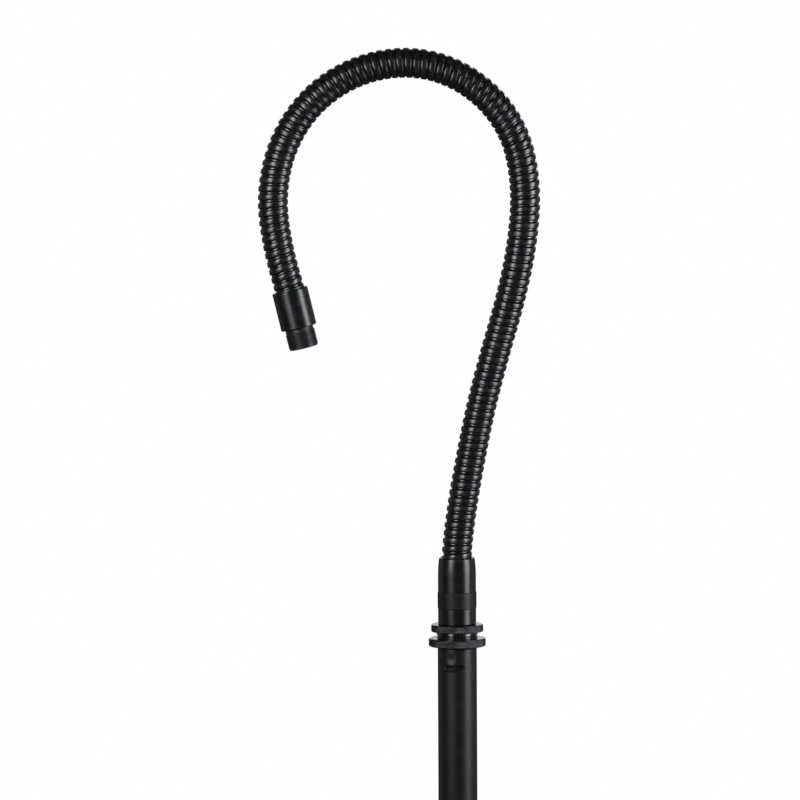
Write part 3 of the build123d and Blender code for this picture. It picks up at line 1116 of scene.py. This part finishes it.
@dataclass
class RingsOnStud:
    """The knurled jam ring, and the top fitting with its knurled flange and grooved neck."""

    ring_diamonds: int = 60
    flange_diamonds: int = 66
    ring_edge: float = 0.55
    flange_edge: float = 0.5
    stud_radius: float = 7.94
    ring_bore: float = 8.0
    neck_radius: float = 10.85
    neck_root: float = 0.3
    groove_depth: float = 0.55
    groove_low: float = -0.75
    groove_high: float = 0.1
    groove_slope: float = 0.3
    cone_low: float = 0.7
    cone_drops: tuple[float, float, float] = (0.05, 0.15, 0.5)
    stud_edge: float = 0.5
    flange_thickness: float = 4.3
    tube_fit_radius: float = 8.75
    face_gap: float = 0.05

    def build(self, finishes: Finishes) -> None:
        """Make both knurled pieces."""
        oxide = finishes.oxide.material()
        self.jam_ring(oxide)
        self.top_fitting(oxide)

    def jam_ring(self, finish: bpy.types.Material) -> None:
        """Turn and knurl the jam ring."""
        ring = KnurledRing(
            node_radius("jam_ring"), node_bottom("jam_ring"), node_top("jam_ring"),
            self.ring_edge, self.ring_diamonds)
        outline = [(self.ring_bore, ring.low), *ring.rim(), (self.ring_bore, ring.high)]
        mesh = turned_mesh("knurled_jam_ring", self.flats(outline), ring.columns)
        piece = ring.press("knurled_jam_ring", mesh, finish)
        finish_piece(piece, finish, "lock_ring", "black_fittings", "jam_ring")

    def top_fitting(self, finish: bpy.types.Material) -> None:
        """Turn the flange, neck and stud from one bar, and knurl the flange."""
        tube_top, stud_top = node_top("stand_tube"), node_top("top_fitting")
        flange_top = tube_top + self.flange_thickness
        neck_top = node_bottom("jam_ring") - self.face_gap
        ring = KnurledRing(
            node_radius("top_fitting"), tube_top, flange_top, self.flange_edge,
            self.flange_diamonds)
        middle = (flange_top + neck_top) / 2
        neck, stud = self.neck_radius, self.stud_radius
        groove = neck - self.groove_depth
        cone_foot, cone_edge, cone_top = (neck - drop for drop in self.cone_drops)
        outline = [
            (0.0, tube_top),
            (self.tube_fit_radius, tube_top),
            *ring.rim(),
            (neck + self.neck_root, flange_top),
            (neck, flange_top + self.neck_root),
            (neck, middle + self.groove_low),
            (groove, middle + self.groove_low + self.groove_slope),
            (groove, middle + self.groove_high - self.groove_slope),
            (neck, middle + self.groove_high),
            (cone_foot, middle + self.cone_low),
            (cone_edge, neck_top - self.neck_root),
            (cone_top, neck_top),
            (stud, neck_top),
            (stud, stud_top - self.stud_edge),
            (stud - self.stud_edge, stud_top),
            (0.0, stud_top),
        ]
        mesh = turned_mesh("knurled_top_fitting", self.flats(outline), ring.columns)
        piece = ring.press("knurled_top_fitting", mesh, finish)
        finish_piece(piece, finish, "stand", "black_fittings", "top_fitting")

    @staticmethod
    def flats(outline: Outline, near: float = 0.06, long: float = 0.3) -> Outline:
        """Add points near the ends of the flats over a length, so that they shade flat."""
        result: Outline = []
        for i, point in enumerate(outline):
            result.append(point)
            here, after = Vector(point), Vector(outline[(i + 1) % len(outline)])
            step = after - here
            if step.length > long and (here.x or after.x):
                inset = step.normalized() * near
                result += [tuple(here + inset), tuple(after - inset)]
        return result


@dataclass
class StandTube:
    """Powder-coated tube, pressed into the top fitting's groove at a short slot."""

    bore_radius: float = 8.8
    slot_below_top: float = 10.8
    slot_height: float = 2.4
    slot_angle: float = math.radians(50)
    slot_turn: float = math.radians(-8.5)
    slot_depth: float = 1.5
    slot_wall: float = 0.5
    upper_line: float = 0.55
    upper_width: float = 0.4
    lower_line: float = 0.75
    lower_width: float = 0.28
    lower_share: float = 0.7
    lip_rise: float = 0.5
    lip_width: float = 0.5
    dent_above: float = 4.6
    dent_turn: float = math.radians(-20)
    dent_depth: float = 0.3
    dent_width: float = 2.2
    fine_step: float = 0.22
    coarse_columns: int = 36
    coarse_rows: int = 8
    beside_slot: float = 5.0
    round_slot: float = 9.0
    end_bevel: float = 0.4
    lip_fade: float = 3.0
    lip_shift: float = 0.3
    lip_top: float = 0.3

    def slot_middle(self) -> float:
        """Height of the slot's middle."""
        return node_top("stand_tube") - self.slot_below_top

    def dent(self, angle: float, height: float) -> float:
        """Change of the outer radius where the tube is crimped.

        Args:
            angle: angle about the tube in radians.
            height: height in millimetres.

        Returns:
            Millimetres outwards.
        """
        radius = node_radius("stand_tube")
        front = -QUARTER + self.slot_turn
        around = (angle - front + math.pi) % TURN - math.pi
        across = max(0.0, abs(around) - self.slot_angle / 2) * radius
        above = height - self.slot_middle()
        inside = math.exp(-(across / self.slot_wall) ** 2)
        upper = math.exp(-((above - self.upper_line) / self.upper_width) ** 2)
        lower = math.exp(-((above + self.lower_line) / self.lower_width) ** 2)
        cut = self.slot_depth * inside * (upper + self.lower_share * lower)
        beyond = math.hypot(across, max(0.0, -above)) - self.slot_height / 2
        leftward = (1 - math.tanh(self.lip_fade * around + self.lip_shift)) / 2
        lip = math.exp(-(beyond / self.lip_width) ** 2) * leftward if above < self.lip_top else 0.0
        side = (around - (self.dent_turn - self.slot_turn)) * radius
        hollow = math.exp(-(side * side + (above - self.dent_above) ** 2) / self.dent_width ** 2)
        return self.lip_rise * lip - cut - self.dent_depth * hollow

    def build(self, finishes: Finishes) -> None:
        """Turn the tube with a fine mesh about its slot."""
        low, top = node_bottom("stand_tube"), node_top("stand_tube")
        radius = node_radius("stand_tube")
        front = -QUARTER + self.slot_turn
        reach = self.slot_angle / 2 + self.beside_slot / radius
        fine = int(2 * reach * radius / self.fine_step)
        angles = [front - reach + 2 * reach * i / fine for i in range(fine + 1)]
        rest = TURN - 2 * reach
        angles += [front + reach + rest * i / self.coarse_columns
                   for i in range(1, self.coarse_columns)]
        middle, span, bevel = self.slot_middle(), self.round_slot, self.end_bevel
        rows = int(2 * span / self.fine_step)
        heights = [low + bevel + (middle - span - low - bevel) * i / self.coarse_rows
                   for i in range(self.coarse_rows)]
        heights += [middle - span + 2 * span * i / rows for i in range(rows + 1)]
        outline = [(self.bore_radius, low), (radius - bevel, low)]
        outline += [(radius, height) for height in heights]
        outline += [(radius, top), (self.bore_radius, top)]

        def swell(angle: float, height: float) -> float:
            """Dents lie on the outer wall near the slot."""
            return self.dent(angle, height) if middle - span < height < middle + span else 0.0

        mesh = turned_mesh("stand_tube_shell", outline, swell=swell, angles=angles)
        piece = new_object("stand_tube_shell", mesh)
        finish_piece(piece, finishes.tube.material(), "stand", "tube_paint", "stand_tube")


@dataclass
class WeightedBase:
    """Domed casting with a hub, on a felt pad, with the bolt that holds the tube."""

    rim_edge: float = 1.6
    rim_height: float = 6.0
    rim_step: float = 3.0
    rim_step_drop: float = 0.5
    dome_height: float = 13.0
    hub_radius: float = 18.0
    hub_edge: float = 1.2
    hub_fillet: float = 6.0
    fillet_steps: int = 8
    dome_inset: float = 1.0
    dome_steps: int = 24
    dome_bulge: float = 0.55
    bore_play: float = 0.05
    pocket_radius: float = 13.0
    pocket_depth: float = 7.5
    pad_edge: float = 0.5
    columns: int = 192

    def casting(self) -> bpy.types.Object:
        """Turn the casting, with a shallow step inside its rim."""
        low, top = node_bottom("base_casting"), node_top("base_casting")
        radius = node_radius("base_casting")
        bore = node_radius("stand_tube") + self.bore_play
        shoulder, rim = low + self.dome_height, low + self.rim_height
        step = radius - self.rim_step
        outline = rounded_outline([
            Corner(bore, low + self.pocket_depth),
            Corner(self.pocket_radius, low + self.pocket_depth, 0.3),
            Corner(self.pocket_radius, low, 0.3),
            Corner(radius, low, 0.6),
            Corner(radius, rim, self.rim_edge),
            Corner(step, rim + 0.1, 0.2),
            Corner(step - 0.4, rim - self.rim_step_drop + 0.1, 0.2),
        ])
        foot = self.hub_radius + self.hub_fillet
        side = step - self.dome_inset
        start = rim - self.rim_step_drop + 0.15
        for i in range(1, self.dome_steps):
            share = i / self.dome_steps
            bulge = self.dome_bulge * math.sin(share * QUARTER) + (1 - self.dome_bulge) * share
            outline.append((side + (foot - side) * share, start + (shoulder - start) * bulge))
        for i in range(self.fillet_steps + 1):
            angle = QUARTER * i / self.fillet_steps
            outline.append((
                foot - self.hub_fillet * math.sin(angle),
                shoulder + self.hub_fillet * (1 - math.cos(angle))))
        outline += rounded_outline([
            Corner(self.hub_radius, shoulder + self.hub_fillet + 0.5),
            Corner(self.hub_radius, top, self.hub_edge),
            Corner(bore, top, 0.4),
            Corner(bore, shoulder),
        ])[1:]
        mesh = turned_mesh("weighted_base_casting", outline, self.columns)
        return new_object("weighted_base_casting", mesh)

    def pad(self) -> bpy.types.Object:
        """Turn the felt pad, a disc with softened edges."""
        below_casting = 0.01
        low, top = node_bottom("base_pad"), node_top("base_pad") - below_casting
        radius = node_radius("base_pad")
        outline = rounded_outline([
            Corner(0.0, low), Corner(radius, low, self.pad_edge),
            Corner(radius, top, self.pad_edge), Corner(0.0, top)])
        return new_object("felt_pad", turned_mesh("felt_pad", outline, self.columns))

    def build(self, finishes: Finishes) -> None:
        """Make the casting and the pad, and dress the fasteners inside."""
        finish_piece(
            self.casting(), finishes.base.material(), "stand", "base_paint", "base_casting")
        finish_piece(self.pad(), Felt().material(), "stand", "felt", "base_pad")
        steel = PlatedSteel().material()
        for node in ("base_washer", "base_bolt", "tube_foot_plug", "threaded_bush"):
            dressed = frame["nodes"][node]
            dressed.data.materials.clear()
            dressed.data.materials.append(steel)
            LOG.info("%s: kept from the frame", node)


# ------------------------------------------------------------------------------- studio

@dataclass(frozen=True)
class SoftBox:
    """Tall soft light beside the object, in metres and degrees."""

    name: str
    azimuth: float
    width: float
    bottom: float
    top: float
    radiance: float
    tint: str = "#ffffff"
    distance: float = 0.8

    def build(self, about: Vector) -> None:
        """Hang the light so that it faces the object.

        Args:
            about: the point that the light's distance and azimuth are measured from.
        """
        lamp = bpy.data.lights.new(self.name, "AREA")
        lamp.shape = "RECTANGLE"
        lamp.size = self.width
        lamp.size_y = self.top - self.bottom
        lamp.color = linear(self.tint)[:3]
        lamp.energy = self.radiance * math.pi * self.width * (self.top - self.bottom)
        piece = bpy.data.objects.new(self.name, lamp)
        bpy.context.scene.collection.objects.link(piece)
        angle = math.radians(self.azimuth)
        away = Vector((math.sin(angle), -math.cos(angle), 0))
        spot = about + away * self.distance
        spot.z = (self.bottom + self.top) / 2
        facing = away.to_track_quat("Z", "Y").to_matrix().to_4x4()
        piece.matrix_world = Matrix.Translation(spot) @ facing
        piece.visible_camera = False


@dataclass
class Studio:
    """White cyclorama, two pairs of soft boxes, a pale floor and the camera."""

    target: Vector = field(default_factory=lambda: Vector((-0.02975, 0.0, 0.3265)))
    distance: float = 4.0
    pitch: float = math.radians(5.2)
    roll: float = math.radians(0.30)
    lens: float = 339.62
    sensor: float = 36.0
    floor_radius: float = 0.62
    floor_fade: float = 0.3
    floor_colour: str = "#e6e6e8"
    floor_roughness: float = 0.8
    floor_steps: int = 96
    floor_rings: int = 12
    room_level: float = 0.045
    backdrop_half_angle: float = math.radians(30)
    back_fill: float = 0.25
    horizon_low: float = -0.03
    horizon_high: float = 0.08
    fill_low: float = 0.95
    fill_high: float = 1.1
    backdrop_fade: float = 0.2
    boxes: tuple[SoftBox, ...] = (
        SoftBox("dim_soft_box", -36.0, 0.33, bottom=0.26, top=0.85, radiance=8.0),
        SoftBox("dim_low_box", -36.0, 0.33, bottom=0.02, top=0.26, radiance=0.8),
        SoftBox("bright_soft_box", 66.0, 0.36, bottom=0.2, top=0.72, radiance=9.5, tint="#f3f7ff"),
        SoftBox("bright_low_box", 66.0, 0.36, bottom=0.0, top=0.2, radiance=4.6, tint="#f3f7ff"),
    )

    def camera(self) -> None:
        """Set the camera up, looking slightly down along +Y."""
        ahead = Vector((0, math.cos(self.pitch), -math.sin(self.pitch)))
        level_up = Vector((0, math.sin(self.pitch), math.cos(self.pitch)))
        up = level_up * math.cos(self.roll) + Vector((1, 0, 0)) * math.sin(self.roll)
        right = ahead.cross(up)
        turn = Matrix((right, up, -ahead)).transposed().to_4x4()
        data = bpy.data.cameras.new("camera")
        data.lens = self.lens
        data.sensor_width = self.sensor
        data.clip_end = 50.0
        camera = bpy.data.objects.new("camera", data)
        bpy.context.scene.collection.objects.link(camera)
        camera.matrix_world = Matrix.Translation(self.target - ahead * self.distance) @ turn
        bpy.context.scene.camera = camera

    def room(self) -> None:
        """White to the camera; to the surfaces, a dark room with a white backdrop and dim fills."""
        world = bpy.data.worlds.new("studio")
        bpy.context.scene.world = world
        world.use_nodes = True
        world.node_tree.nodes.clear()
        add = partial(add_node, world.node_tree)
        ray = add("ShaderNodeTexCoord").outputs["Generated"]
        parts = add("ShaderNodeSeparateXYZ", ray).outputs
        behind = add("ShaderNodeMapRange", interpolation_type="SMOOTHSTEP", links={
            "Value": parts[1],
            "From Min": math.cos(self.backdrop_half_angle * (1 + self.backdrop_fade)),
            "From Max": math.cos(self.backdrop_half_angle * (1 - self.backdrop_fade))})
        high = add("ShaderNodeMapRange", interpolation_type="SMOOTHSTEP", links={
            "Value": parts[2], "From Min": self.horizon_low, "From Max": self.horizon_high})
        white = add(MATH, behind, high, operation="MULTIPLY")
        backdrop = add(MATH, white, self.room_level, operation="MAXIMUM")
        aside = add(MATH, parts[0], operation="ABSOLUTE")
        half_back = add(MATH, parts[1], 0.5, operation="MULTIPLY")
        fill = add("ShaderNodeMapRange", interpolation_type="SMOOTHSTEP", links={
            "Value": add(MATH, aside, half_back, operation="ADD"),
            "From Min": self.fill_low, "From Max": self.fill_high, "To Max": self.back_fill})
        both = add(MATH, backdrop, fill, operation="MAXIMUM")
        seen = add("ShaderNodeLightPath").outputs["Is Camera Ray"]
        level = add(MATH, seen, both, operation="MAXIMUM")
        light = add("ShaderNodeBackground", WHITE, level)
        add("ShaderNodeOutputWorld", light)

    def floor(self) -> None:
        """Lay a pale disc that fades to white at its rim."""
        steps = self.floor_steps
        shape = bmesh.new()
        centre = shape.verts.new((0, 0, 0))
        rows = []
        for j in range(1, self.floor_rings + 1):
            radius = self.floor_radius * j / self.floor_rings
            angles = [TURN * i / steps for i in range(steps)]
            rows.append([
                shape.verts.new((radius * math.cos(a), radius * math.sin(a), 0)) for a in angles])
        for i in range(steps):
            k = (i + 1) % steps
            shape.faces.new((centre, rows[0][i], rows[0][k]))
            for inner, outer in zip(rows, rows[1:]):
                shape.faces.new((inner[i], outer[i], outer[k], inner[k]))
        mesh = bpy.data.meshes.new("pale_floor")
        shape.to_mesh(mesh)
        shape.free()
        floor = new_object("pale_floor", mesh)
        floor.data.materials.append(self.floor_material())
        floor.visible_glossy = False
        floor.visible_diffuse = False

    def floor_material(self) -> bpy.types.Material:
        """Pale matte paint that turns to plain white light towards the rim of the disc."""
        skin, tree, shader, place = new_skin("pale_matte_floor")
        add = partial(add_node, tree)
        feed(tree, shader, {
            "Base Color": linear(self.floor_colour), "Roughness": self.floor_roughness})
        reach = add(VECTOR_MATH, place, operation="LENGTH").outputs["Value"]
        fade = add("ShaderNodeMapRange", interpolation_type="SMOOTHSTEP", links={
            "Value": reach,
            "From Min": self.floor_radius - self.floor_fade, "From Max": self.floor_radius})
        white = add("ShaderNodeEmission", WHITE)
        both = add("ShaderNodeMixShader", fade, shader, white)
        feed(tree, tree.nodes["Material Output"], {"Surface": both})
        return skin

    def build(self) -> None:
        """Set the whole studio up."""
        bpy.context.scene.view_settings.view_transform = "Standard"
        self.camera()
        self.room()
        self.floor()
        for box in self.boxes:
            box.build(Vector((self.target.x, 0, 0)))


# ------------------------------------------------------------------------------- the whole

def neck_line(tip: TipFerrule) -> NeckLine:
    """Centre line of the neck, from the frame's joints and the mount at the tip."""
    mounts = {mount["name"]: mount for mount in frame["record"]["mounts"]}
    thread = mounts["tip_thread"]
    middle = Vector(thread["pos_m"])
    outward = Vector(thread["axis"]).normalized()
    back = (tip.length + tip.relief_length + tip.thread_length / 2) * MM
    joints = [Vector(j["pos_m"]) for j in frame["joints"] if "neck_turn" not in j["name"]
              and "lock_ring" not in j["name"]]
    return NeckLine(Vector((0, 0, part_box("foot_ferrule")[1].z)), joints, middle - outward * back)


def main() -> None:
    """Build every sub-assembly round the frame."""
    logging.basicConfig(level=logging.INFO, format="%(name)s: %(message)s")
    finishes = Finishes()
    tip = TipFerrule()
    line = neck_line(tip)
    LOG.info("hose of %.1f mm in %d bends", line.length / MM, len(line.bends))
    Studio().build()
    WeightedBase().build(finishes)
    StandTube().build(finishes)
    RingsOnStud().build(finishes)
    FootFerrule().build(finishes)
    Gooseneck(line).build(finishes)
    tip.build(line, finishes)


if __name__ == "__main__":
    main()
